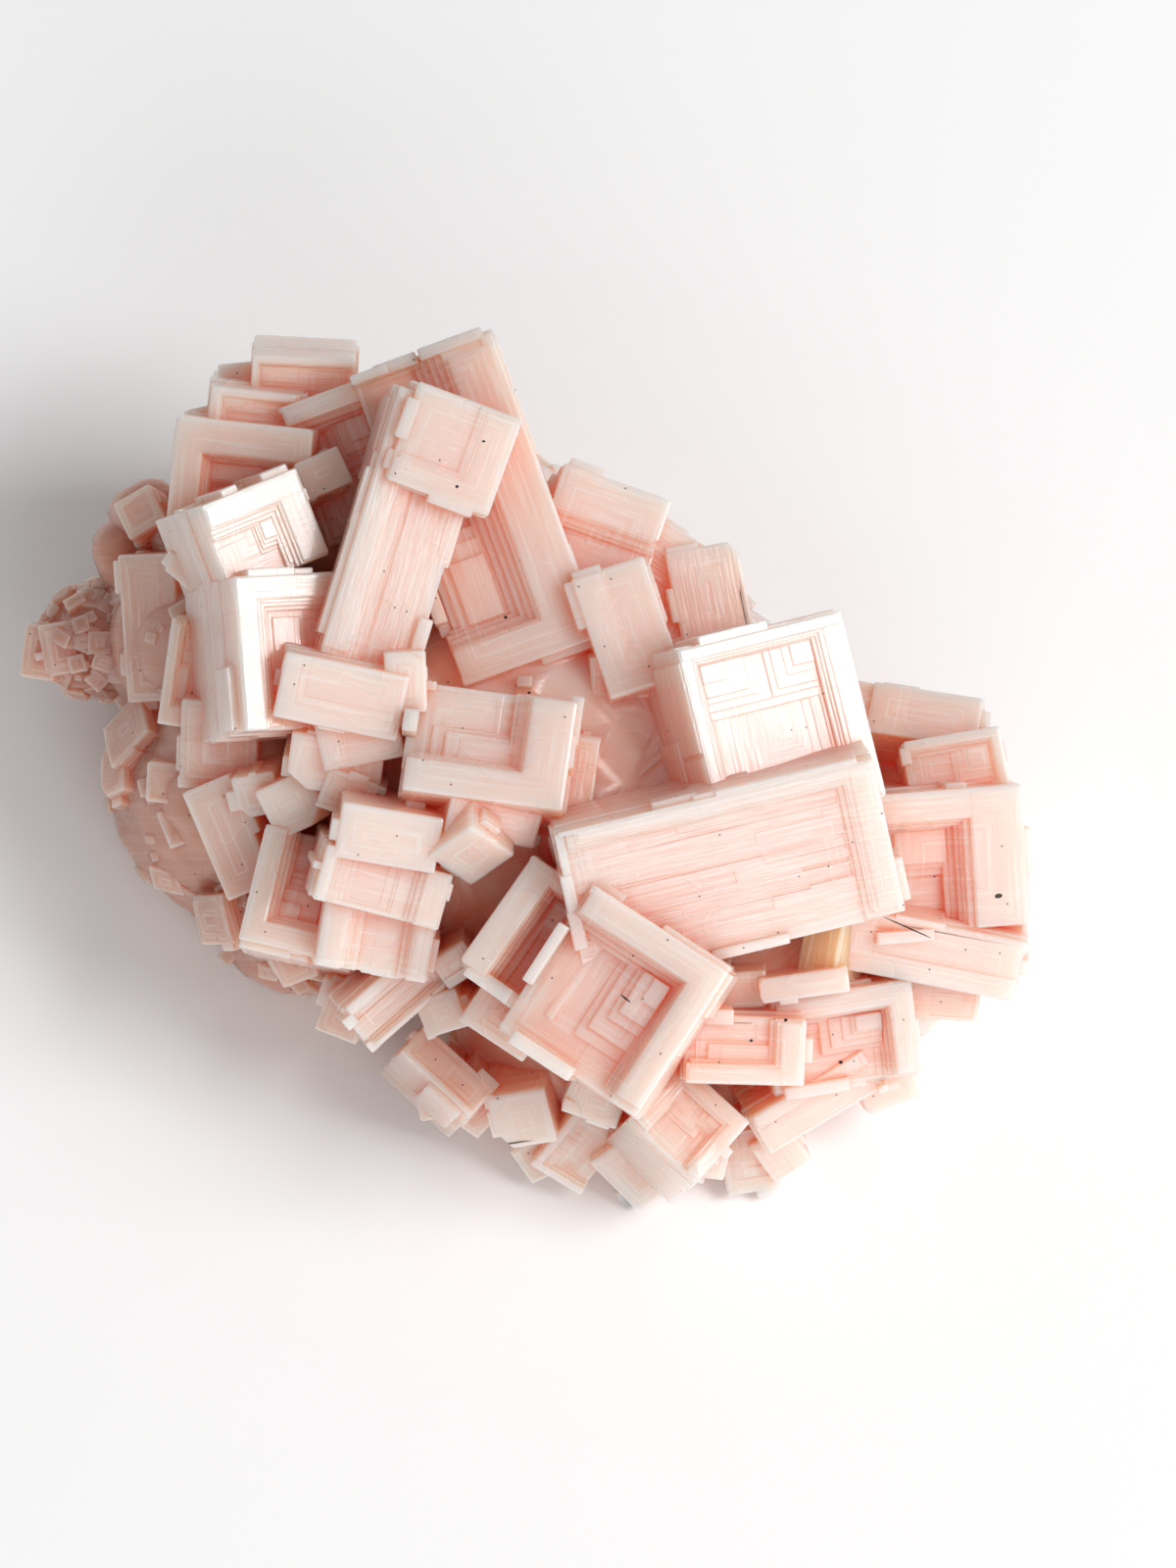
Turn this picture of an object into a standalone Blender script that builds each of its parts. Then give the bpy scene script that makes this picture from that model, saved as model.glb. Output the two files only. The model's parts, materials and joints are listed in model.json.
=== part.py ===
"""Pink halite cluster: salt cubes with stepped hopper faces, grown together on a lumpy mound.

The whole cluster is one solid. It is laid out in its growth frame, whose +Z is the way the
large cubes face, then leant towards -Y, cut flat where it rests and centred on its footprint.
"""

import math
import random
from typing import NamedTuple

import bmesh
import bpy
from mathutils import Matrix, Vector, noise

MM = 0.001
NAME = "halite_cluster"

# Driving dimensions. The layout is drawn on a grid, 1040 units across the whole cluster.
UNIT = 0.1154  # one layout unit, mm
LEAN = 25.0  # the growth direction leans this far from vertical, towards -Y, degrees
REST_DEPTH = 90  # the resting cut lies this far below the layout's origin, units
FRAME_STEPS = 2  # steps in the arms of each crystal's frame
SEED = 11


class Crystal(NamedTuple):
    """One cube or slab, placed by the centre of its front face in the growth frame."""

    at: tuple  # x, y, z of the front face's centre, units
    size: tuple  # width, height and depth, units
    spin: float  # turn in the plane of the front face, degrees
    tip: float = 0.0  # lean of the front face, degrees
    toward: float = 0.0  # the way it leans, degrees from +X
    rims: tuple = ()  # widths of the frame's arms: left, right, below and above; 0 where open
    sunk: float = 0.0  # height of the frame over its floor, units


class Lobe(NamedTuple):
    """One lump of the massive salt under the cubes, in the growth frame."""

    at: tuple  # centre, units
    radii: tuple  # half sizes, units


# The big cubes, from the tall pair on the left round to the hoppers in front
LARGE = [
    # tall open hopper at the back, the beam that grew across it, and the frame beside it
    Crystal((-44, 265, 235), (150, 338, 150), 20, 7, 110, (0, 88, 62, 0), 30),
    Crystal((-116, 236, 300), (96, 284, 100), -17, 9, 0, (46, 0, 0, 40), 10),
    Crystal((-66, 322, 306), (112, 104, 90), -20, 9, 0),
    Crystal((-178, 312, 190), (95, 150, 130), 20, 6, 110, (0, 16, 0, 36), 30),
    # frames and slabs on the left shoulder
    Crystal((-222, 392, 150), (106, 54, 120), -3, 12, -90, (12, 0, 0, 14), 7),
    Crystal((-272, 359, 172), (92, 50, 120), -6, 10, -90, (16, 0, 0, 12), 7),
    Crystal((-287, 287, 195), (142, 128, 140), -6, 9, 200, (38, 0, 0, 46), 30),
    Crystal((-258, 240, 280), (112, 94, 140), 22, 22, 14, (0, 46, 0, 40), 12),
    Crystal((-200, 300, 215), (50, 40, 90), 24, 14, 60),
    Crystal((-230, 117, 298), (114, 158, 150), 4, 22, 14, (44, 0, 0, 46), 12),
    # broken blocks below the beam
    Crystal((-180, 70, 325), (128, 68, 120), -12, 12, -90),
    Crystal((-115, 85, 320), (42, 62, 100), 2, 8, -60),
    Crystal((-163, 30, 305), (84, 60, 100), 12, 12, -110),
    Crystal((-187, 0, 288), (96, 60, 120), -8, 20, -100),
    # hopper in the middle with two broad arms
    Crystal((-30, 24, 340), (166, 120, 130), -8, 14, 90, (0, 62, 46, 0), 26),
    Crystal((63, -8, 290), (32, 74, 100), -8, 8, 0),
    Crystal((120, 30, 262), (124, 118, 110), 40, 16, 130, (24, 0, 0, 30), 8),
    # bright hopper right of the middle
    Crystal((268, 43, 320), (184, 196, 130), 14, 22, 14, (22, 42, 0, 24), 10),
    # plain blocks behind it
    Crystal((110, 142, 272), (78, 132, 150), 18, 10, 80),
    Crystal((103, 90, 262), (60, 46, 120), 4, 12, -60),
    Crystal((82, 236, 214), (120, 120, 160), -19, 14, 60, (0, 0, 0, 62), 12),
    Crystal((140, 192, 206), (116, 116, 160), -33, 16, 50, (0, 0, 0, 58), 12),
    Crystal((196, 172, 204), (76, 108, 150), 11, 12, 30),
    # long beam in front
    Crystal((215, -109, 368), (330, 164, 110), 13, 14, -66, (44, 46, 0, 20), 10),
    Crystal((180, -90, 300), (270, 130, 140), 14, 12, -60),
    # blocks and hopper on the right
    Crystal((440, -98, 268), (156, 148, 160), 4, 12, -20, (0, 80, 0, 44), 40),
    Crystal((445, 2, 226), (102, 64, 140), 10, 10, 80, (0, 18, 0, 18), 8),
    Crystal((415, 54, 182), (114, 56, 140), -10, 24, 95),
    Crystal((362, 62, 170), (56, 50, 120), -14, 24, 110),
    Crystal((415, -192, 252), (194, 66, 150), -12, 22, -88),
    Crystal((430, -238, 196), (82, 46, 130), -6, 20, -75),
    Crystal((308, -176, 268), (44, 84, 130), -12, 26, 185),
    Crystal((255, -183, 226), (86, 72, 120), 38, 20, 130),
    # the joined pair of hoppers in front
    Crystal((22, -176, 350), (112, 132, 160), -35, 6, 150, (48, 14, 0, 26), 40),
    Crystal((94, -236, 392), (168, 174, 190), -33, 5, 170, (0, 45, 0, 48), 34),
    Crystal((174, -360, 256), (94, 82, 130), -42, 18, 45, (24, 22, 0, 24), 12),
    Crystal((230, -290, 288), (122, 68, 130), -2, 10, -60, (0, 36, 24, 0), 14),
    Crystal((290, -223, 282), (92, 26, 110), 8, 8, -60),
    Crystal((228, -228, 262), (48, 38, 100), 4, 12, -100),
    Crystal((332, -278, 240), (150, 102, 140), 8, 14, -40, (0, 36, 0, 34), 22),
    Crystal((305, -346, 206), (136, 52, 100), 31, 26, -60, (0, 0, 0, 20), 8),
    # left front: angle frame, slabs and the block between them
    Crystal((-217, -128, 270), (112, 124, 130), -13, 10, 120, (34, 0, 36, 0), 30),
    Crystal((-138, -123, 326), (132, 60, 120), -15, 12, -60, (18, 38, 0, 0), 8),
    Crystal((-145, -173, 300), (114, 80, 130), -10, 10, -90, (42, 30, 0, 0), 12),
    Crystal((-132, -73, 340), (104, 58, 110), -10, 12, -85),
    Crystal((-25, -53, 334), (96, 48, 90), -12, 18, -60),
    Crystal((-48, -92, 338), (62, 62, 62), 45, 46, -90),
    Crystal((-122, -233, 250), (112, 54, 120), 41, 16, -45, (0, 0, 12, 20), 10),
    Crystal((-10, -253, 275), (78, 68, 120), -34, 16, -110),
    Crystal((-72, -310, 206), (98, 42, 110), -43, 18, 45, (10, 0, 10, 0), 6),
]

# Middle-sized cubes on the flanks and in the gaps
MIDDLE = [
    Crystal((-323, 92, 200), (82, 112, 120), -9, 14, 200, (16, 0, 30, 0), 14),
    Crystal((-308, 22, 205), (80, 88, 120), -3, 16, 230),
    Crystal((-298, -73, 214), (56, 120, 120), 23, 22, 205),
    Crystal((-363, -18, 160), (42, 42, 90), -5, 20, 215),
    Crystal((-347, -60, 150), (44, 40, 90), 20, 26, 215),
    Crystal((-380, 142, 125), (66, 152, 130), 3, 30, 190),
    Crystal((-497, 118, 25), (38, 56, 80), -8, 20, 185),
    Crystal((-472, 122, 40), (46, 54, 90), 10, 14, 200),
    Crystal((-325, 192, 200), (74, 38, 90), -38, 20, 200),
    Crystal((-392, 262, 95), (44, 44, 90), 28, 24, 150),
    Crystal((-322, 352, 120), (44, 40, 100), 10, 24, 150),
    Crystal((-290, 399, 120), (40, 34, 90), 4, 18, 120),
    Crystal((-175, -30, 285), (54, 44, 90), -20, 20, -100),
    Crystal((-232, -40, 262), (58, 56, 100), 26, 16, -120),
    Crystal((-268, -30, 240), (46, 44, 90), 12, 20, 240),
    Crystal((-65, -203, 258), (42, 36, 90), 34, 16, -90),
    Crystal((-80, -253, 240), (46, 42, 90), 20, 22, -120),
    Crystal((-22, -196, 272), (40, 36, 90), -30, 14, -100),
    Crystal((-180, -250, 165), (46, 68, 100), -20, 30, 240),
    Crystal((-235, -200, 165), (44, 50, 90), 24, 30, 235),
    Crystal((-85, -345, 150), (44, 40, 90), 10, 30, 250),
    Crystal((-46, -352, 160), (46, 52, 90), -38, 30, -100),
    Crystal((2, -362, 190), (62, 62, 110), 12, 28, -100),
    Crystal((18, -404, 135), (40, 46, 80), 30, 34, -95),
    Crystal((60, -396, 158), (62, 82, 110), -35, 30, -95, (14, 0, 14, 0), 10),
    Crystal((124, -412, 150), (72, 78, 110), 40, 32, -85),
    Crystal((78, -340, 230), (60, 50, 110), -20, 24, -100),
    Crystal((190, -405, 165), (46, 40, 90), -10, 30, -80),
    Crystal((235, -406, 142), (54, 76, 100), 10, 32, -85),
    Crystal((268, -398, 150), (46, 54, 90), 34, 30, -70),
    Crystal((378, -330, 165), (60, 44, 100), 20, 26, -60),
    Crystal((455, -60, 190), (60, 100, 120), 6, 30, 10),
    Crystal((170, 90, 225), (60, 90, 110), 26, 20, 110),
    Crystal((0, 105, 225), (110, 60, 110), 18, 12, -80),
]

# The massive salt that carries the cubes, with its small lumps on the left flank last
LOBES = [
    Lobe((35, -17, 20), (290, 250, 258)),
    Lobe((-262, -20, -10), (162, 145, 206)),
    Lobe((-190, -138, 15), (132, 100, 192)),
    Lobe((-295, 130, 0), (134, 118, 172)),
    Lobe((-215, 238, -35), (140, 104, 200)),
    Lobe((-52, 226, -35), (128, 104, 216)),
    Lobe((150, 84, -20), (150, 92, 225)),
    Lobe((338, -120, 15), (150, 152, 204)),
    Lobe((120, -250, 35), (200, 130, 184)),
    Lobe((-430, 130, -10), (66, 58, 66)),
    Lobe((-350, 232, 60), (32, 32, 44)),
    Lobe((-386, 262, 25), (34, 34, 44)),
    Lobe((-408, 214, 15), (32, 40, 44)),
]
LOBE_RELIEF = 10  # height of the mound's lumps, units
LOBE_PITCH = 78  # distance between them, units

# Small cubes scattered over the mound's bare flanks, and the plan outline that holds them
FLANK_CUBES = 76
FLANK_SIDES = (30, 84)  # smallest and largest side, units
FLANK_SPACING = 44  # least distance between two of them, units
FLANK_FOOT = 45  # least height over the resting cut, units
FLANK_FACING = (-0.55, 0.4)  # steepest and flattest way they face, as its upward part
LARGE_LOBES = 9  # how many lobes, from the list's start, carry them
OUTLINE = [
    (-365, 299), (-422, 242), (-473, 187), (-508, 165), (-520, 110), (-432, 60), (-437, -18),
    (-433, -68), (-410, -108), (-335, -163), (-280, -203), (-240, -233), (-180, -288),
    (-118, -288), (-40, -378), (30, -428), (120, -458), (185, -420), (273, -435), (350, -343),
    (408, -318), (435, -258), (510, -183), (518, -118), (516, -43), (478, 24), (440, 76),
    (350, 84), (328, 160), (240, 135), (195, 229), (110, 279), (70, 302), (-30, 456),
    (-120, 405), (-279, 417), (-356, 350),
]


def turn_of(crystal):
    """Rotation that brings a crystal's own axes to the growth frame's."""
    way = math.radians(crystal.toward)
    hinge = Vector((-math.sin(way), math.cos(way), 0.0))
    lean = Matrix.Rotation(math.radians(crystal.tip), 4, hinge)
    return lean @ Matrix.Rotation(math.radians(crystal.spin), 4, "Z")


def place_of(crystal):
    """Matrix from a crystal's own axes, front face at z = 0, to the growth frame."""
    return Matrix.Translation(Vector(crystal.at)) @ turn_of(crystal)


def growth_to_rest():
    """Matrix that leans the growth frame and lifts it off the resting cut, still in units."""
    lift = Matrix.Translation((0.0, 0.0, REST_DEPTH))
    return lift @ Matrix.Rotation(math.radians(LEAN), 4, "X")


def depth_in(point, lobe):
    """How deep a point lies in a lobe: under 1 inside it, over 1 outside."""
    return sum(((point[i] - lobe.at[i]) / lobe.radii[i]) ** 2 for i in range(3)) ** 0.5


def inside_outline(x, y):
    """Whether a point of the growth frame's plan lies inside the cluster's outline."""
    inside = False
    for (x0, y0), (x1, y1) in zip(OUTLINE, OUTLINE[1:] + OUTLINE[:1]):
        if (y0 > y) != (y1 > y) and x < x0 + (y - y0) * (x1 - x0) / (y1 - y0):
            inside = not inside
    return inside


def flank_cubes():
    """Small cubes standing on the mound where no large one hides it, each facing out."""
    rng = random.Random(SEED)
    lobes = LOBES[:LARGE_LOBES]
    cubes = []
    while len(cubes) < FLANK_CUBES:
        lobe = rng.choice(lobes)
        way = Vector(rng.gauss(0, 1) for _ in range(3)).normalized()
        point = Vector(lobe.at[i] + way[i] * lobe.radii[i] for i in range(3))
        out = Vector(way[i] / lobe.radii[i] for i in range(3)).normalized()
        side = rng.uniform(*FLANK_SIDES)
        reach = point + out * side * 0.55
        buried = any(depth_in(point, other) < 1.0 for other in lobes if other is not lobe)
        near = any((point - Vector(c.at)).length < max(c.size) * 0.7 for c in LARGE + MIDDLE)
        crowded = any((point - Vector(c.at)).length < FLANK_SPACING for c in cubes)
        low = (growth_to_rest() @ point).z < FLANK_FOOT
        turned_off = not FLANK_FACING[0] < out.z < FLANK_FACING[1]
        if buried or near or crowded or low or turned_off:
            continue
        if not inside_outline(reach.x, reach.y):
            continue
        size = (side, side * rng.uniform(0.7, 1.1), side * 1.5)
        tip = math.degrees(out.angle(Vector((0, 0, 1)))) * rng.uniform(0.75, 1.0)
        toward = math.degrees(math.atan2(out.y, out.x)) + rng.uniform(-15, 15)
        at = tuple(point + out * side * rng.uniform(0.12, 0.3))
        cubes.append(Crystal(at, size, rng.uniform(-40, 40), tip, toward))
    return cubes


def cuboid(low, high):
    """A bmesh of one cuboid between two corners."""
    shape = bmesh.new()
    bmesh.ops.create_cube(shape, size=1.0)
    bmesh.ops.scale(shape, vec=high - low, verts=shape.verts)
    bmesh.ops.translate(shape, vec=(high + low) / 2, verts=shape.verts)
    return shape


def crystal_shapes(crystal, rng):
    """Bmeshes of one crystal in its own axes: its block, and the stepped arms of its frame."""
    width, height, depth = crystal.size
    low = Vector((-width / 2, -height / 2, -depth))
    high = Vector((width / 2, height / 2, -crystal.sunk))
    shapes = [cuboid(low, high)]
    for step in range(FRAME_STEPS):
        share = (step + 1) / FRAME_STEPS
        for side, rim in enumerate(crystal.rims):
            if not rim:
                continue
            grow = [rng.uniform(0.3, 1.4) for _ in range(4)]
            low = Vector((-width / 2 - grow[0], -height / 2 - grow[1], -depth * 0.6))
            high = Vector((width / 2 + grow[2], height / 2 + grow[3], 0.0))
            low.z += rng.uniform(-0.1, 0.1) * depth
            high.z = -crystal.sunk * step / FRAME_STEPS - rng.uniform(0.0, 0.6)
            across = side // 2
            if side % 2 == 0:
                high[across] = low[across] + rim * share
            else:
                low[across] = high[across] - rim * share
            shapes.append(cuboid(low, high))
    return shapes


def lobe_shape(lobe):
    """A bmesh of one rounded, uneven lump, in the growth frame."""
    shape = bmesh.new()
    bmesh.ops.create_icosphere(shape, subdivisions=2, radius=1.0)
    for vert in shape.verts:
        out = vert.co.normalized()
        vert.co = Vector(lobe.at) + Vector(out[i] * lobe.radii[i] for i in range(3))
        vert.co += out * LOBE_RELIEF * noise.noise(vert.co / LOBE_PITCH)
    return shape


def object_from(shape, name, collection, place):
    """Turn a bmesh into an object of the collection, with its place applied to the mesh."""
    shape.transform(place)
    bmesh.ops.recalc_face_normals(shape, faces=shape.faces)
    mesh = bpy.data.meshes.new(name)
    shape.to_mesh(mesh)
    shape.free()
    made = bpy.data.objects.new(name, mesh)
    collection.objects.link(made)
    return made


def collection_named(name, helper=False):
    """A new collection under the scene's; a helper collection isn't rendered."""
    made = bpy.data.collections.new(name)
    bpy.context.scene.collection.children.link(made)
    made.hide_render = helper
    return made


def outer_skin(mesh):
    """Keep the one outer surface of a joined mesh, without the pockets enclosed between cubes."""
    shape = bmesh.new()
    shape.from_mesh(mesh)
    bmesh.ops.remove_doubles(shape, verts=shape.verts, dist=0.02)
    left = set(shape.faces)
    shells = []
    while left:
        reached = [left.pop()]
        shell = list(reached)
        while reached:
            for edge in reached.pop().edges:
                for other in edge.link_faces:
                    if other in left:
                        left.remove(other)
                        shell.append(other)
                        reached.append(other)
        shells.append(shell)
    shells.sort(key=len)
    for shell in shells[:-1]:
        bmesh.ops.delete(shape, geom=shell, context="FACES")
    bmesh.ops.dissolve_limit(
        shape, angle_limit=math.radians(0.5), verts=shape.verts, edges=shape.edges
    )
    bmesh.ops.triangulate(shape, faces=shape.faces)
    shape.to_mesh(mesh)
    shape.free()


def halite_material():
    """Pale pink, milky salt."""
    made = bpy.data.materials.new("pink_halite")
    made.use_nodes = True
    shader = made.node_tree.nodes["Principled BSDF"]
    shader.inputs["Base Color"].default_value = (0.80, 0.60, 0.52, 1.0)
    shader.inputs["Roughness"].default_value = 0.3
    shader.inputs["Metallic"].default_value = 0.0
    made.diffuse_color = (0.80, 0.60, 0.52, 1.0)
    return made


def clear_scene():
    """Remove whatever the scene starts with."""
    for item in list(bpy.data.objects):
        bpy.data.objects.remove(item, do_unlink=True)


def main():
    clear_scene()
    part = collection_named(NAME)
    cutters = collection_named(NAME + "_cutters", helper=True)
    joined = collection_named(NAME + "_growth", helper=True)
    lean = growth_to_rest()

    for number, lobe in enumerate(LOBES[1:]):
        object_from(lobe_shape(lobe), f"lobe_{number:02d}", joined, lean)
    rng = random.Random(SEED)
    for number, crystal in enumerate(LARGE + MIDDLE + flank_cubes()):
        for step, shape in enumerate(crystal_shapes(crystal, rng)):
            place = lean @ place_of(crystal)
            object_from(shape, f"cube_{number:03d}_{step:02d}", joined, place)

    floor = bmesh.new()
    bmesh.ops.create_cube(floor, size=1800.0)
    floor = object_from(floor, "floor", cutters, Matrix.Translation((0, 0, -900.0)))
    for helper in list(joined.objects) + [floor]:
        helper.display_type = "WIRE"
        helper.hide_render = True

    cluster = object_from(lobe_shape(LOBES[0]), NAME, part, lean)
    union = cluster.modifiers.new("grown_together", "BOOLEAN")
    union.operation = "UNION"
    union.operand_type = "COLLECTION"
    union.collection = joined
    union.solver = "EXACT"
    cut = cluster.modifiers.new("resting_cut", "BOOLEAN")
    cut.operation = "DIFFERENCE"
    cut.object = floor
    cut.solver = "EXACT"

    graph = bpy.context.evaluated_depsgraph_get()
    mesh = bpy.data.meshes.new_from_object(cluster.evaluated_get(graph))
    cluster.modifiers.clear()
    outer_skin(mesh)
    low = Vector(min(vert.co[i] for vert in mesh.vertices) for i in range(3))
    high = Vector(max(vert.co[i] for vert in mesh.vertices) for i in range(3))
    middle = (low + high) / 2
    mesh.transform(Matrix.Translation((-middle.x, -middle.y, -low.z)))
    mesh.transform(Matrix.Scale(UNIT * MM, 4))
    cluster.data = mesh
    cluster.data.name = NAME
    cluster.data.materials.clear()
    cluster.data.materials.append(halite_material())


if __name__ == "__main__":
    main()
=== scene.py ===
"""Pink halite cluster: intergrown salt cubes with stepped hopper faces, dressed for display.

Every cube is cut with fine terraces, growth ridges and small blocks, and all of them are joined
with the lumpy massive salt under them into one closed piece, which stands for the whole cluster.
"""

import json
import logging
import math
import random
from dataclasses import dataclass, field, replace
from enum import Enum
from typing import ClassVar

import bmesh
import bpy
from mathutils import Matrix, Vector, noise

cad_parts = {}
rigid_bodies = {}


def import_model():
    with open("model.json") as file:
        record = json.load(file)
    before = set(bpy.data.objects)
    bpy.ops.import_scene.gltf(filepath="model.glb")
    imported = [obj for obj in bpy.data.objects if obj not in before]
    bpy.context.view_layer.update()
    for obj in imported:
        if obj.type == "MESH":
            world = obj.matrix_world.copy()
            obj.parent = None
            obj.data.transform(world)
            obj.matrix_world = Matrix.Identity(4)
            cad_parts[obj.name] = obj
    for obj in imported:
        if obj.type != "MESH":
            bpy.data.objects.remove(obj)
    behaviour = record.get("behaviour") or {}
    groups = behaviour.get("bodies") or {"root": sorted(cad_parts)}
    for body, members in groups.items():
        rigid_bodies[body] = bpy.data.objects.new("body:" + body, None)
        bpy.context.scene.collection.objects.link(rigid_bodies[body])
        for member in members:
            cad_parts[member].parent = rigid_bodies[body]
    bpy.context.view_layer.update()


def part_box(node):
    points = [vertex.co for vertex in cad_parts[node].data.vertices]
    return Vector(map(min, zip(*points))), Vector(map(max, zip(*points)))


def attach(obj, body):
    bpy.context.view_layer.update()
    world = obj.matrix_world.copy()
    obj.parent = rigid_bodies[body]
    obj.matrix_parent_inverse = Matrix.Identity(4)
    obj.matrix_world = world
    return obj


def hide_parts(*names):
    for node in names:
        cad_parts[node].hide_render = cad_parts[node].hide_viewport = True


LOG = logging.getLogger("halite")
NODE = "halite_cluster"
UNIT = 0.1154e-3  # one layout unit, metres
LEAN = 25.0  # the growth direction leans this far from vertical, towards -Y, degrees
REST_DEPTH = 90.0  # the resting cut lies this far below the layout's origin, units
SEED = 11
MAPS = ("grain", "near", "far")  # the UV maps that the salt's finishes read
MAP_UNIT = 100.0  # units of the layout to one of a map
FAR_IN = 9.0  # a reading of the near and far maps that is well away from any edge
CREVICE_REACH = 0.014  # how far off another face still paints shade into the hollows, metres
BUMP_HEIGHT = 0.0004  # height of the fine growth lines, metres
HALITE_IOR = 1.54
THROUGH = 1000.0  # a mark runs this far through the cluster, metres
CUT_SIDE = 1800.0  # side of the block that cuts the cluster's foot level, units
SHEET_GAP = 0.0002  # the sheet lies this far below the cluster, metres

Colour = tuple[float, float, float]
Triple = tuple[float, float, float]
Shapes = list[bmesh.types.BMesh]


class Skin(Enum):
    """Which finish a face of the cluster carries; the value is its material slot."""

    MILKY = 0
    CRUST = 1
    BRIGHT = 2
    AMBER = 3
    STREAKED = 4
    CLEAR = 5


class Habit(Enum):
    """How a crystal grew, which sets the relief on its front face."""

    HOPPER = "nested terraces down to a floor"
    BEAM = "long ridges along the face"
    BLOCK = "plain cube with small ledges"


@dataclass(frozen=True)
class Crystal:
    """One cube or slab, placed by the centre of its front face in the growth frame.

    Sizes are in layout units and angles in degrees. ``rims`` are the widths left of, right of,
    below and above the hopper, and ``sunk`` is the hopper's depth.
    """

    at: Triple
    size: Triple
    spin: float
    tip: float = 0.0
    toward: float = 0.0
    rims: tuple[float, ...] = ()
    sunk: float = 0.0
    habit: Habit = Habit.HOPPER
    skin: Skin = Skin.MILKY


@dataclass(frozen=True)
class Lobe:
    """One lump of the massive salt under the cubes, in the growth frame, in units."""

    at: Triple
    radii: Triple


@dataclass(frozen=True)
class GrowthFrame:
    """The frame that the cluster is laid out in, with +Z the way the large cubes face."""

    lean: float = LEAN
    rest_depth: float = REST_DEPTH

    def turn(self) -> Matrix:
        """Return the rotation from the growth frame to the upright one."""
        return Matrix.Rotation(math.radians(self.lean), 4, "X")

    def upright(self) -> Matrix:
        """Return the matrix to the upright frame, standing on the resting cut, in units."""
        return Matrix.Translation((0.0, 0.0, self.rest_depth)) @ self.turn()

    def direction(self, off_axis: float, toward: float) -> Vector:
        """Return an upright direction leaning off the growth axis.

        Args:
            off_axis: Angle from the growth axis, degrees.
            toward: The way it leans, degrees from +X.

        Returns:
            A unit vector in the upright frame.
        """
        tilt, way = math.radians(off_axis), math.radians(toward)
        flat = Vector((math.sin(tilt) * math.cos(way), math.sin(tilt) * math.sin(way), 0.0))
        return self.turn().to_3x3() @ (flat + Vector((0.0, 0.0, math.cos(tilt))))


RIDGED = {"habit": Habit.BEAM, "skin": Skin.STREAKED}

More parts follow.
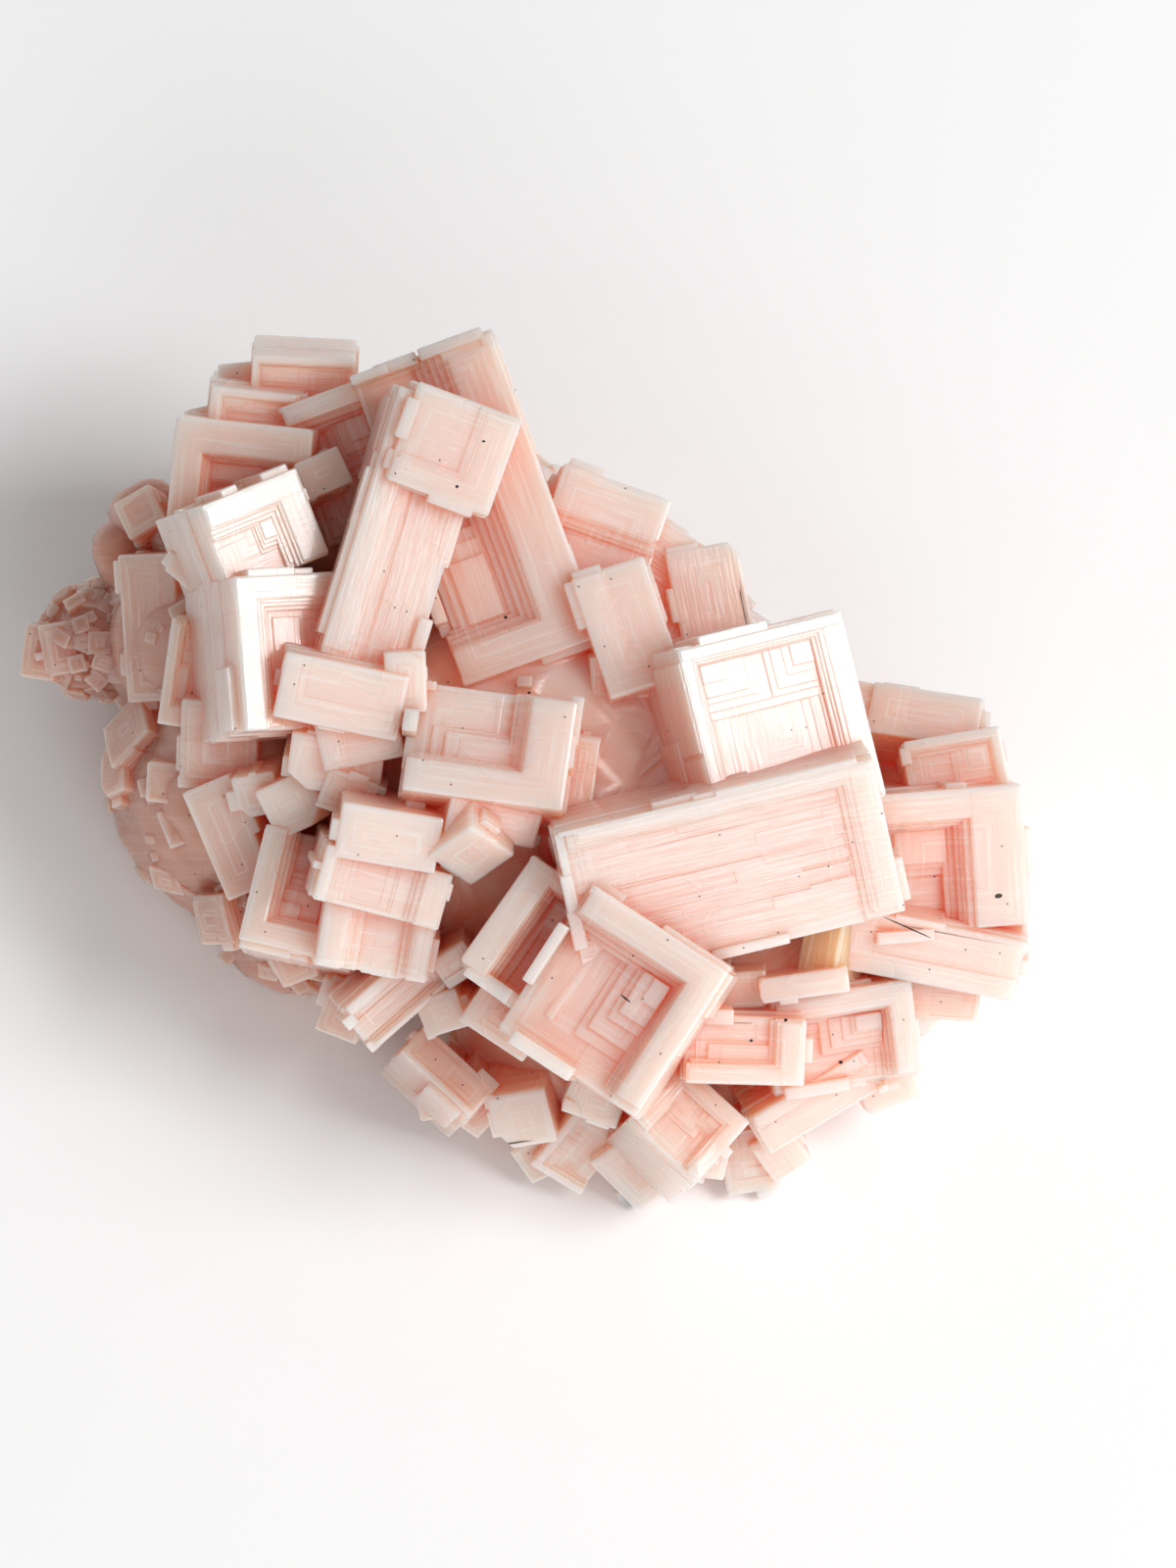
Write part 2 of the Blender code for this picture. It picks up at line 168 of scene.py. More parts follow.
# The big cubes, from the tall pair on the left round to the hoppers in front
LARGE: list[Crystal] = [
    # tall open hopper at the back, the beam that grew across it, and the frame beside it
    Crystal((-44, 265, 235), (150, 338, 150), 20, 7, 110, (0, 88, 62, 0), 30, skin=Skin.CLEAR),
    Crystal((-116, 236, 300), (96, 284, 100), -17, 9, 0, (46, 0, 0, 40), 10, **RIDGED),
    Crystal((-66, 322, 306), (112, 104, 90), -20, 9, 0, skin=Skin.CLEAR),
    Crystal((-178, 312, 190), (95, 150, 130), 20, 6, 110, (0, 16, 0, 36), 30, skin=Skin.CLEAR),
    # frames and slabs on the left shoulder
    Crystal((-222, 392, 150), (106, 54, 120), -3, 12, -90, (12, 0, 0, 14), 7),
    Crystal((-272, 359, 172), (92, 50, 120), -6, 10, -90, (16, 0, 0, 12), 7),
    Crystal((-287, 287, 195), (142, 128, 140), -6, 9, 200, (38, 0, 0, 46), 30),
    Crystal((-258, 240, 280), (112, 94, 140), 22, 22, 14, (0, 46, 0, 40), 12, skin=Skin.BRIGHT),
    Crystal((-200, 300, 215), (50, 40, 90), 24, 14, 60),
    Crystal((-230, 117, 298), (114, 158, 150), 4, 22, 14, (44, 0, 0, 46), 12, skin=Skin.BRIGHT),
    # broken blocks below the beam
    Crystal((-180, 70, 325), (128, 68, 120), -12, 12, -90),
    Crystal((-115, 85, 320), (42, 62, 100), 2, 8, -60),
    Crystal((-163, 30, 305), (84, 60, 100), 12, 12, -110),
    Crystal((-187, 0, 288), (96, 60, 120), -8, 20, -100),
    # hopper in the middle with two broad arms
    Crystal((-30, 24, 340), (166, 120, 130), -8, 14, 90, (0, 62, 46, 0), 26),
    Crystal((63, -8, 290), (32, 74, 100), -8, 8, 0),
    Crystal((120, 30, 262), (124, 118, 110), 40, 16, 130, (24, 0, 0, 30), 8, **RIDGED),
    # bright hopper right of the middle
    Crystal((268, 43, 320), (184, 196, 130), 14, 22, 14, (22, 42, 0, 24), 10, skin=Skin.BRIGHT),
    # plain blocks behind it
    Crystal((110, 142, 272), (78, 132, 150), 18, 10, 80),
    Crystal((103, 90, 262), (60, 46, 120), 4, 12, -60),
    Crystal((82, 236, 214), (120, 120, 160), -19, 14, 60, (0, 0, 0, 62), 12),
    Crystal((140, 192, 206), (116, 116, 160), -33, 16, 50, (0, 0, 0, 58), 12),
    Crystal((196, 172, 204), (76, 108, 150), 11, 12, 30, skin=Skin.CLEAR),
    # long beam in front
    Crystal((215, -109, 368), (330, 164, 110), 13, 14, -66, (0, 46, 0, 24), 8, **RIDGED),
    Crystal((180, -90, 300), (270, 130, 140), 14, 12, -60),
    # blocks and hopper on the right
    Crystal((440, -98, 268), (156, 148, 160), 4, 12, -20, (0, 80, 0, 44), 40),
    Crystal((445, 2, 226), (102, 64, 140), 10, 10, 80, (0, 18, 0, 18), 8),
    Crystal((415, 54, 182), (114, 56, 140), -10, 24, 95),
    Crystal((362, 62, 170), (56, 50, 120), -14, 24, 110),
    Crystal((415, -192, 252), (194, 66, 150), -12, 22, -88),
    Crystal((430, -238, 196), (82, 46, 130), -6, 20, -75),
    Crystal((308, -176, 268), (44, 84, 130), -12, 26, 185, skin=Skin.AMBER),
    Crystal((255, -183, 226), (86, 72, 120), 38, 20, 130),
    # the joined pair of hoppers in front
    Crystal((22, -176, 350), (112, 132, 160), -35, 6, 150, (48, 14, 0, 26), 40),
    Crystal((94, -236, 392), (168, 174, 190), -33, 5, 170, (0, 45, 0, 48), 34),
    Crystal((174, -360, 256), (94, 82, 130), -42, 18, 45, (24, 22, 0, 24), 12, skin=Skin.BRIGHT),
    Crystal((230, -290, 288), (122, 68, 130), -2, 10, -60, (0, 36, 24, 0), 14),
    Crystal((290, -223, 282), (92, 26, 110), 8, 8, -60),
    Crystal((228, -228, 262), (48, 38, 100), 4, 12, -100),
    Crystal((332, -278, 240), (150, 102, 140), 8, 14, -40, (0, 36, 0, 34), 22),
    Crystal((305, -346, 206), (136, 52, 100), 31, 26, -60, (0, 0, 0, 20), 8),
    # left front: angle frame, slabs and the block between them
    Crystal((-217, -128, 270), (112, 124, 130), -13, 10, 120, (34, 0, 36, 0), 30),
    Crystal((-138, -123, 326), (132, 60, 120), -15, 12, -60, (18, 38, 0, 0), 8),
    Crystal((-145, -173, 300), (114, 80, 130), -10, 10, -90, (42, 30, 0, 0), 12),
    Crystal((-132, -73, 340), (104, 58, 110), -10, 12, -85),
    Crystal((-25, -53, 334), (96, 48, 90), -12, 18, -60),
    Crystal((-48, -92, 338), (62, 62, 62), 45, 46, -90),
    Crystal((-122, -233, 250), (112, 54, 120), 41, 16, -45, (0, 0, 12, 20), 10, **RIDGED),
    Crystal((-10, -253, 275), (78, 68, 120), -34, 16, -110),
    Crystal((-72, -310, 206), (98, 42, 110), -43, 18, 45, (10, 0, 10, 0), 6),
]

# Middle-sized cubes on the flanks and in the gaps
MIDDLE: list[Crystal] = [
    Crystal((-323, 92, 200), (82, 112, 120), -9, 14, 200, (16, 0, 30, 0), 14),
    Crystal((-308, 22, 205), (80, 88, 120), -3, 16, 230),
    Crystal((-298, -73, 214), (56, 120, 120), 23, 22, 205),
    Crystal((-363, -18, 160), (42, 42, 90), -5, 20, 215),
    Crystal((-347, -60, 150), (44, 40, 90), 20, 26, 215),
    Crystal((-380, 142, 125), (66, 152, 130), 3, 30, 190),
    Crystal((-497, 118, 25), (38, 56, 80), -8, 20, 185),
    Crystal((-472, 122, 40), (46, 54, 90), 10, 14, 200),
    Crystal((-325, 192, 200), (74, 38, 90), -38, 20, 200),
    Crystal((-392, 262, 95), (44, 44, 90), 28, 24, 150),
    Crystal((-322, 352, 120), (44, 40, 100), 10, 24, 150),
    Crystal((-290, 399, 120), (40, 34, 90), 4, 18, 120),
    Crystal((-175, -30, 285), (54, 44, 90), -20, 20, -100),
    Crystal((-232, -40, 262), (58, 56, 100), 26, 16, -120),
    Crystal((-268, -30, 240), (46, 44, 90), 12, 20, 240),
    Crystal((-65, -203, 258), (42, 36, 90), 34, 16, -90),
    Crystal((-80, -253, 240), (46, 42, 90), 20, 22, -120),
    Crystal((-22, -196, 272), (40, 36, 90), -30, 14, -100),
    Crystal((-180, -250, 165), (46, 68, 100), -20, 30, 240),
    Crystal((-235, -200, 165), (44, 50, 90), 24, 30, 235),
    Crystal((-85, -345, 150), (44, 40, 90), 10, 30, 250),
    Crystal((-46, -352, 160), (46, 52, 90), -38, 30, -100),
    Crystal((2, -362, 190), (62, 62, 110), 12, 28, -100),
    Crystal((18, -404, 135), (40, 46, 80), 30, 34, -95),
    Crystal((60, -396, 158), (62, 82, 110), -35, 30, -95, (14, 0, 14, 0), 10),
    Crystal((124, -412, 150), (73, 78, 110), 40, 32, -85),
    Crystal((78, -340, 230), (60, 50, 110), -20, 24, -100),
    Crystal((190, -405, 165), (46, 40, 90), -10, 30, -80),
    Crystal((235, -406, 142), (54, 76, 100), 10, 32, -85),
    Crystal((268, -398, 150), (46, 54, 90), 34, 30, -70),
    Crystal((378, -330, 165), (60, 44, 100), 20, 26, -60),
    Crystal((455, -60, 190), (60, 100, 120), 6, 30, 10),
    Crystal((170, 90, 225), (60, 90, 110), 26, 20, 110),
    Crystal((0, 105, 225), (110, 60, 110), 18, 12, -80),
]

# The massive salt that carries the cubes, with its small lumps on the left flank last
LOBES: list[Lobe] = [
    Lobe((35, -17, 20), (290, 250, 258)),
    Lobe((-262, -20, -10), (162, 145, 206)),
    Lobe((-190, -138, 15), (132, 100, 192)),
    Lobe((-295, 130, 0), (134, 118, 172)),
    Lobe((-215, 238, -35), (140, 104, 200)),
    Lobe((-52, 226, -35), (128, 104, 216)),
    Lobe((150, 84, -20), (150, 92, 225)),
    Lobe((338, -120, 15), (150, 152, 204)),
    Lobe((120, -250, 35), (200, 130, 184)),
    Lobe((-430, 130, -10), (66, 58, 66)),
    Lobe((-350, 232, 60), (32, 32, 44)),
    Lobe((-386, 262, 25), (34, 34, 44)),
    Lobe((-408, 214, 15), (32, 40, 44)),
]

# The plan outline that holds the small cubes on the flanks
OUTLINE: list[tuple[float, float]] = [
    (-365, 299), (-422, 242), (-473, 187), (-508, 165), (-520, 110), (-432, 60), (-437, -18),
    (-433, -68), (-410, -108), (-335, -163), (-280, -203), (-240, -233), (-180, -288),
    (-118, -288), (-40, -378), (30, -428), (120, -458), (185, -420), (273, -435), (350, -343),
    (408, -318), (435, -258), (510, -183), (518, -118), (516, -43), (478, 24), (440, 76),
    (350, 84), (328, 160), (240, 135), (195, 229), (110, 279), (70, 302), (-30, 456),
    (-120, 405), (-279, 417), (-356, 350),
]
FLANK_CUBES = 76


@dataclass(frozen=True)
class Mark:
    """A dark speck, fibre or hair lying on the salt, seen along the growth axis, in units."""

    at: tuple[float, float]
    half_length: float
    half_width: float
    turn: float = 0.0


MARKS: list[Mark] = [
    Mark((488, -132), 4.0, 2.4, 10),
    Mark((108, -235), 6.5, 0.9, -38),
    Mark((395, -164), 27.0, 0.8, -24),
    Mark((-63, 284), 1.8, 1.6),
    Mark((271, -258), 1.9, 1.7),
    Mark((236, -279), 1.8, 1.5),
    Mark((328, -302), 2.2, 1.8),
    Mark((-14, 152), 1.8, 1.6),
    Mark((10, 75), 1.6, 1.4),
    Mark((-36, 330), 1.8, 1.2),
]


@dataclass
class GrownCrystal:
    """A crystal's shapes: its terraced body, the collars on its sides and its small blocks.

    Args:
        crystal: The crystal's place and sizes.
        seed: Number that fixes its small irregularities.
    """

    crystal: Crystal
    seed: int
    edge: float = 2.6
    rng: random.Random = field(init=False)

    def __post_init__(self) -> None:
        """Seed the crystal's own random numbers."""
        self.rng = random.Random(self.seed * 7919 + SEED)

    def place(self) -> Matrix:
        """Return the matrix from the crystal's own axes to the growth frame."""
        way = math.radians(self.crystal.toward)
        hinge = Vector((-math.sin(way), math.cos(way), 0.0))
        lean = Matrix.Rotation(math.radians(self.crystal.tip), 4, hinge)
        spin = Matrix.Rotation(math.radians(self.crystal.spin), 4, "Z")
        return Matrix.Translation(Vector(self.crystal.at)) @ lean @ spin

    def box(self, low: Vector, high: Vector, edge: float) -> bmesh.types.BMesh:
        """Return a cuboid with worn edges.

        Args:
            low: Lowest corner in the crystal's own axes.
            high: Highest corner.
            edge: Width of the worn edge, units.

        Returns:
            A closed bmesh in the crystal's own axes.
        """
        shape = bmesh.new()
        bmesh.ops.create_cube(shape, size=1.0)
        bmesh.ops.scale(shape, vec=high - low, verts=shape.verts)
        bmesh.ops.translate(shape, vec=(high + low) / 2, verts=shape.verts)
        edge = min(edge, 0.2 * min(high - low))
        bmesh.ops.bevel(
            shape,
            geom=shape.edges[:],
            offset=edge,
            offset_type="OFFSET",
            affect="EDGES",
            segments=2 if edge > 1.5 else 1,
            profile=0.5,
            material=-1,
        )
        return shape

    def frame(self) -> tuple[tuple[float, ...], float]:
        """Return the widths of the frame's arms and its height, faint ones on a plain face."""
        if self.crystal.rims:
            return self.crystal.rims, self.crystal.sunk
        width, height, _ = self.crystal.size
        rims = [0.0, 0.0, 0.0, 0.0]
        rims[self.rng.randrange(2)] = width * self.rng.uniform(0.14, 0.5)
        rims[2 + self.rng.randrange(2)] = height * self.rng.uniform(0.14, 0.5)
        return tuple(rims), min(width, height) * self.rng.uniform(0.02, 0.06)

    def body(self, rims: tuple[float, ...], sunk: float) -> bmesh.types.BMesh:
        """Return the crystal's block up to the floor of its frame, with faint lines on the floor.

        Args:
            rims: Widths of the frame's arms.
            sunk: How far the floor lies below the frame's top.

        Returns:
            A closed bmesh in the crystal's own axes.
        """
        width, height, depth = self.crystal.size
        low = Vector((-width / 2, -height / 2, -depth))
        shape = self.box(low, Vector((width / 2, height / 2, -sunk)), self.edge)
        shape.normal_update()
        floor = max(shape.faces, key=lambda face: (round(face.normal.z, 3), face.calc_area()))
        inset = [rim * 1.02 + self.edge + 0.6 for rim in rims]
        deep = sunk
        for _ in range(min(4, int(min(width, height) / 16))):
            gap = [self.rng.uniform(2.0, 11.0) if rim else self.rng.uniform(0, 2) for rim in rims]
            for riser in (0.0, 1.0):
                inset = [a + (b if riser == 0.0 else 1.0) for a, b in zip(inset, gap)]
                if width - inset[0] - inset[1] < 8 or height - inset[2] - inset[3] < 8:
                    return shape
                deep += riser * self.rng.uniform(-0.8, 1.3)
                bmesh.ops.inset_region(shape, faces=[floor], thickness=0.3, use_even_offset=True)
                for vert in floor.verts:
                    right, top = vert.co.x > 0, vert.co.y > 0
                    vert.co.x = width / 2 - inset[1] if right else inset[0] - width / 2
                    vert.co.y = height / 2 - inset[3] if top else inset[2] - height / 2
                    vert.co.z = -deep
        return shape

    def arms(self, rims: tuple[float, ...], sunk: float) -> Shapes:
        """Return the frame's nested arms: bars along its sides, stepping down inwards.

        Args:
            rims: Widths of the frame's arms, nothing where the frame is open.
            sunk: Height of the frame over its floor.

        Returns:
            Closed bmeshes in the crystal's own axes.
        """
        width, height, depth = self.crystal.size
        made = []
        for share, fall in self.steps(max(rims)):
            for side, rim in enumerate(rims):
                if not rim:
                    continue
                grow = [self.rng.uniform(-0.6, 0.6) for _ in range(4)]
                foot = max(sunk + 12, depth * self.rng.uniform(0.3, 0.8))
                low = Vector((-width / 2 - grow[0], -height / 2 - grow[1], -foot))
                high = Vector((width / 2 + grow[2], height / 2 + grow[3], -sunk * fall))
                high.z += self.rng.uniform(-0.35, 0.35) - (0.5 if share < 0.3 else 0.0)
                inner = rim * share * self.rng.uniform(0.98, 1.02)
                across = side // 2
                if side % 2 == 0:
                    high[across] = low[across] + inner
                else:
                    low[across] = high[across] - inner
                along = 1 - across
                run = (width, height)[along]
                if not rims[2 * along]:
                    low[along] += run * self.rng.uniform(0.0, 0.06)
                if not rims[2 * along + 1]:
                    high[along] -= run * self.rng.uniform(0.0, 0.06)
                made.append(self.box(low, high, 1.3 if fall else self.edge))
        return made

    def steps(self, widest: float) -> list[tuple[float, float]]:
        """Return the frame's steps: share of the arm's width, and share of its height down.

        The outer part of an arm stays level but for a fine groove, and most of the drop is in
        the steps along its inner edge.

        Args:
            widest: Width of the widest arm, units.
        """
        steps = [(self.rng.uniform(0.55, 0.78), 0.0)]
        if widest > 22:
            steps.insert(0, (self.rng.uniform(0.12, 0.28), 0.0))
        count = max(2, min(5, round(widest / 11)))
        share, fall = steps[-1][0], 0.0
        for number in range(count):
            left = count - number
            share += (1.0 - share) / left * self.rng.uniform(0.5, 1.3) if left > 1 else 1.0 - share
            fall += (0.86 - fall) / left * self.rng.uniform(0.3, 1.1)
            steps.append((share, fall))
        return steps

    def broken(self, shape: bmesh.types.BMesh) -> bmesh.types.BMesh:
        """Break corners off a plain crystal along flat planes.

        Args:
            shape: The crystal's block in its own axes, which is changed.

        Returns:
            The same bmesh, closed again.
        """
        width, height, _ = self.crystal.size
        for _ in range(self.rng.choice((0, 1, 1, 2, 3))):
            sx, sy = self.rng.choice((-1, 1)), self.rng.choice((-1, 1))
            corner = Vector((sx * width / 2, sy * height / 2, 0.0))
            slope = self.rng.uniform(-0.1, 1.0)
            away = Vector((sx * self.rng.uniform(0.15, 1), sy * self.rng.uniform(0.15, 1), slope))
            away.normalize()
            near = corner - away * min(width, height) * self.rng.uniform(0.05, 0.24)
            bmesh.ops.bisect_plane(
                shape,
                geom=shape.verts[:] + shape.edges[:] + shape.faces[:],
                plane_co=near,
                plane_no=away,
                clear_outer=True,
            )
            bmesh.ops.holes_fill(shape, edges=shape.edges, sides=0)
        return shape

    def collars(self) -> Shapes:
        """Return slabs that stand a little proud of the sides, as growth ledges."""
        width, height, depth = self.crystal.size
        made = []
        if max(width, height) < 60:
            return made
        for _ in range(3 if max(width, height) > 110 else 2):
            top = -max(self.crystal.sunk + 6, depth * self.rng.uniform(0.06, 0.6))
            grow = [self.rng.uniform(-2.0, 3.6) for _ in range(4)]
            foot = top - self.rng.uniform(6, 26)
            low = Vector((-width / 2 - grow[0], -height / 2 - grow[1], foot))
            high = Vector((width / 2 + grow[2], height / 2 + grow[3], top))
            made.append(self.box(low, high, 1.2))
        return made

    def satellites(self) -> Shapes:
        """Return small slabs grown parallel to the crystal along its sides."""
        width, height, depth = self.crystal.size
        made = []
        for _ in range(int((width + height) / 42)):
            across = self.rng.randrange(2)
            along = 1 - across
            run, reach = self.crystal.size[along], self.crystal.size[across] / 2
            long = self.rng.uniform(0.12, 0.5) * run
            start = self.rng.uniform(-run / 2 - 3, run / 2 - long + 3)
            out = self.rng.uniform(1.5, 9.0)
            level = -self.rng.choice((0.01, 0.03, 0.08, 0.15, 0.3))
            top = level * depth * self.rng.uniform(0.6, 1.4)
            foot = top - depth * self.rng.uniform(0.15, 0.6)
            low, high = Vector((0, 0, foot)), Vector((0, 0, top))
            low[along], high[along] = start, start + long
            low[across], high[across] = reach - 8, reach + out
            if self.rng.random() < 0.5:
                low[across], high[across] = -reach - out, 8 - reach
            made.append(self.box(low, high, 1.2))
        return made

    def blocks(self) -> Shapes:
        """Return stairs of small slabs grown out from a corner of the frame."""
        width, height, _ = self.crystal.size
        left, right, below, above = self.crystal.rims
        sunk = self.crystal.sunk
        made = []
        inner = (width - left - right, height - below - above)
        arms = ((right, left), (above, below))
        corners = [corner for corner in range(4) if arms[0][corner % 2] and arms[1][corner // 2]]
        for corner in self.rng.sample(corners, min(len(corners), 2)):
            sx, sy = (1, -1)[corner % 2], (1, -1)[corner // 2]
            x = (width / 2 - right) if sx > 0 else (left - width / 2)
            y = (height / 2 - above) if sy > 0 else (below - height / 2)
            long = inner[0] * self.rng.uniform(0.5, 0.95)
            short = inner[1] * self.rng.uniform(0.25, 0.6)
            if self.rng.random() < 0.5:
                long = inner[0] * self.rng.uniform(0.25, 0.6)
                short = inner[1] * self.rng.uniform(0.5, 0.95)
            for step in range(self.rng.choice((3, 4, 5))):
                shrink = 1.0 - 0.17 * step * self.rng.uniform(0.8, 1.1)
                top = -sunk * (0.9 - 0.11 * step) * self.rng.uniform(0.94, 1.04)
                a = Vector((x + sx * 3, y + sy * 3, -sunk - 8))
                b = Vector((x - sx * long * shrink, y - sy * short * shrink, min(top, -0.4)))
                low = Vector(min(a[i], b[i]) for i in range(3))
                high = Vector(max(a[i], b[i]) for i in range(3))
                made.append(self.box(low, high, 0.9))
        return made

    def ridges(self) -> Shapes:
        """Return the long ridges and broken strips of a beam, laid along its longer side."""
        size, rims = self.crystal.size, self.crystal.rims
        clear = [size[way] - rims[2 * way] - rims[2 * way + 1] for way in (0, 1)]
        first = [rims[2 * way] - size[way] / 2 for way in (0, 1)]
        along_x = size[0] > size[1]
        length, across = clear if along_x else clear[::-1]
        start, base = first if along_x else first[::-1]
        made = []
        begin = base
        while begin < base + across - 3:
            finish = min(begin + self.rng.uniform(3, 12), base + across + 2)
            cut = start - self.rng.uniform(0.0, 0.3) * length
            while cut < start + length:
                end = min(cut + length * self.rng.uniform(0.3, 1.3), start + length + 3)
                top = self.rng.uniform(0.1, 2.6) - self.crystal.sunk
                low, high = (max(cut, start - 2), begin - 1), (end, finish)
                if not along_x:
                    low, high = low[::-1], high[::-1]
                if end - max(cut, start - 2) > 3:
                    base_low = Vector((*low, -self.crystal.sunk - 8))
                    made.append(self.box(base_low, Vector((*high, top)), 0.6))
                cut = end - 1.0
            begin = finish
        return made

    def map_grain(self, shape: bmesh.types.BMesh) -> None:
        """Lay the UV maps along the crystal's own axes, one unit of map per 100 units.

        The grain map runs along the faces. The near and far maps hold how far in a point lies
        from the crystal's lower and upper sides, and on its flanks from its front.

        Args:
            shape: A shape in the crystal's own axes.
        """
        shape.normal_update()
        grain, near, far = (shape.loops.layers.uv.new(name) for name in MAPS)
        half = Vector(self.crystal.size[:2]) / 2
        away = Vector((self.seed * 3.71 % 17.0, self.seed * 5.13 % 13.0))
        turned = self.crystal.size[1] > self.crystal.size[0]
        for face in shape.faces:
            normal = face.normal
            for loop in face.loops:
                spot = loop.vert.co
                flat = Vector((spot.x, spot.y))
                loop[near].uv = (half + flat) / MAP_UNIT
                loop[far].uv = (half - flat) / MAP_UNIT
                if abs(normal.z) < 0.6:
                    flat = Vector((spot.y if abs(normal.x) > 0.6 else spot.x, spot.z))
                    loop[near].uv = (-spot.z / MAP_UNIT, FAR_IN)
                    loop[far].uv = (FAR_IN, FAR_IN)
                elif turned:
                    flat = Vector((spot.y, spot.x))
                loop[grain].uv = flat / MAP_UNIT + away

    def settle(self, shape: bmesh.types.BMesh) -> None:
        """Map one of the crystal's shapes, move it to its place and give it its skin."""
        self.map_grain(shape)
        shape.transform(self.place())
        for face in shape.faces:
            face.material_index = self.crystal.skin.value

    def shapes(self) -> Shapes:
        """Return every closed shape of the crystal, placed in the growth frame."""
        rims, sunk = self.frame()
        if self.crystal.rims or self.rng.random() < 0.35:
            made = [self.body(rims, sunk)] + self.arms(rims, sunk) + self.collars()
        else:
            made = [self.broken(self.body(rims, 0.0))]
            made += self.arms(rims, sunk)[-2:] if self.rng.random() < 0.4 else []
        made += self.satellites()
        if self.crystal.habit is Habit.HOPPER and self.crystal.rims:
            made += self.blocks()
        if self.crystal.habit is Habit.BEAM:
            made += self.ridges()
        for shape in made:
            self.settle(shape)
        return made


@dataclass
class SaltMound:
    """The massive salt under the cubes, with small cubes and cubelets on its flanks."""

    lobes: list[Lobe] = field(default_factory=lambda: list(LOBES))
    relief: float = 10.0
    pitch: float = 78.0
    ripples: tuple[tuple[float, float], ...] = ((5.0, 31.0), (2.2, 12.0))  # height, pitch
    cubelets: int = 420
    large_lobes: int = 9
    flank_spacing: float = 44.0
    flank_foot: float = 45.0
    flank_lean: tuple[float, float] = (-0.55, 0.4)  # how far the flank cubes may face up
    steepest: float = -0.5

    def lump(self, lobe: Lobe, number: int) -> bmesh.types.BMesh:
        """Return one uneven lump of massive salt.

        Args:
            lobe: The lump's place and size.
            number: Its place in the list, which sets how finely it is made.

        Returns:
            A closed bmesh in the growth frame.
        """
        fine = 5 if number in (1, 2, 3) else 4 if number < self.large_lobes else 3
        shape = bmesh.new()
        bmesh.ops.create_icosphere(shape, subdivisions=fine, radius=1.0)
        for vert in shape.verts:
            out = vert.co.normalized()
            spot = Vector(lobe.at) + Vector(out[i] * lobe.radii[i] for i in range(3))
            vert.co = spot + out * self.relief * noise.noise(spot / self.pitch)
            for height, pitch in self.ripples:
                vert.co += out * height * noise.noise(spot / pitch)
        grain, near, far = (shape.loops.layers.uv.new(name) for name in MAPS)
        skin = Skin.MILKY if number in (0, 5, 6, 7, 8) else Skin.CRUST
        for face in shape.faces:
            face.material_index = skin.value
            face.smooth = True
            for loop in face.loops:
                loop[grain].uv = loop.vert.co.xy / MAP_UNIT
                loop[near].uv = loop[far].uv = (FAR_IN, FAR_IN)
        return shape

    @staticmethod
    def depth_in(point: Vector, lobe: Lobe) -> float:
        """Return how deep a point lies in a lobe: under 1 inside it, over 1 outside."""
        return sum(((point[i] - lobe.at[i]) / lobe.radii[i]) ** 2 for i in range(3)) ** 0.5

    def buried(self, point: Vector, lobe: Lobe, lobes: list[Lobe], limit: float) -> bool:
        """Return whether a point on one lobe lies inside another of them."""
        return any(self.depth_in(point, other) < limit for other in lobes if other is not lobe)

    @staticmethod
    def foothold(rng: random.Random, lobe: Lobe) -> tuple[Vector, Vector, Vector]:
        """Return a direction, the point of the lobe that way, and the way out of it there."""
        way = Vector(rng.gauss(0, 1) for _ in range(3)).normalized()
        point = Vector(lobe.at[i] + way[i] * lobe.radii[i] for i in range(3))
        out = Vector(way[i] / lobe.radii[i] for i in range(3)).normalized()
        return way, point, out

    @staticmethod
    def facing(out: Vector) -> tuple[float, float]:
        """Return how far a direction tips off the growth axis, and which way, in degrees."""
        return math.degrees(out.angle(Vector((0, 0, 1)))), math.degrees(math.atan2(out.y, out.x))

    @staticmethod
    def inside_outline(x: float, y: float) -> bool:
        """Return whether a point of the growth frame's plan lies inside the outline."""
        inside = False
        for (x0, y0), (x1, y1) in zip(OUTLINE, OUTLINE[1:] + OUTLINE[:1]):
            if (y0 > y) != (y1 > y) and x < x0 + (y - y0) * (x1 - x0) / (y1 - y0):
                inside = not inside
        return inside

    def flank_cubes(self, frame: GrowthFrame) -> list[Crystal]:
        """Return the small cubes that stand on the mound's bare flanks, each facing out.

        Args:
            frame: The growth frame, which gives the height over the resting cut.

        Returns:
            Plain crystals in the growth frame.
        """
        rng = random.Random(SEED)
        lobes = self.lobes[: self.large_lobes]
        cubes: list[Crystal] = []
        while len(cubes) < FLANK_CUBES:
            lobe = rng.choice(lobes)
            _, point, out = self.foothold(rng, lobe)
            side = rng.uniform(30, 84)
            reach = point + out * side * 0.55
            near = any(
                (point - Vector(cube.at)).length < max(cube.size) * 0.7 for cube in LARGE + MIDDLE
            )
            crowded = any(
                (point - Vector(cube.at)).length < self.flank_spacing for cube in cubes
            )
            low = (frame.upright() @ point).z < self.flank_foot
            if near or crowded or low or not self.flank_lean[0] < out.z < self.flank_lean[1]:
                continue
            if self.buried(point, lobe, lobes, 1.0) or not self.inside_outline(reach.x, reach.y):
                continue
            size = (side, side * rng.uniform(0.7, 1.1), side * 1.5)
            tip, toward = self.facing(out)
            tip *= rng.uniform(0.75, 1.0)
            toward += rng.uniform(-15, 15)
            at = tuple(point + out * side * rng.uniform(0.12, 0.3))
            cubes.append(Crystal(at, size, rng.uniform(-40, 40), tip, toward, habit=Habit.BLOCK))
        return cubes

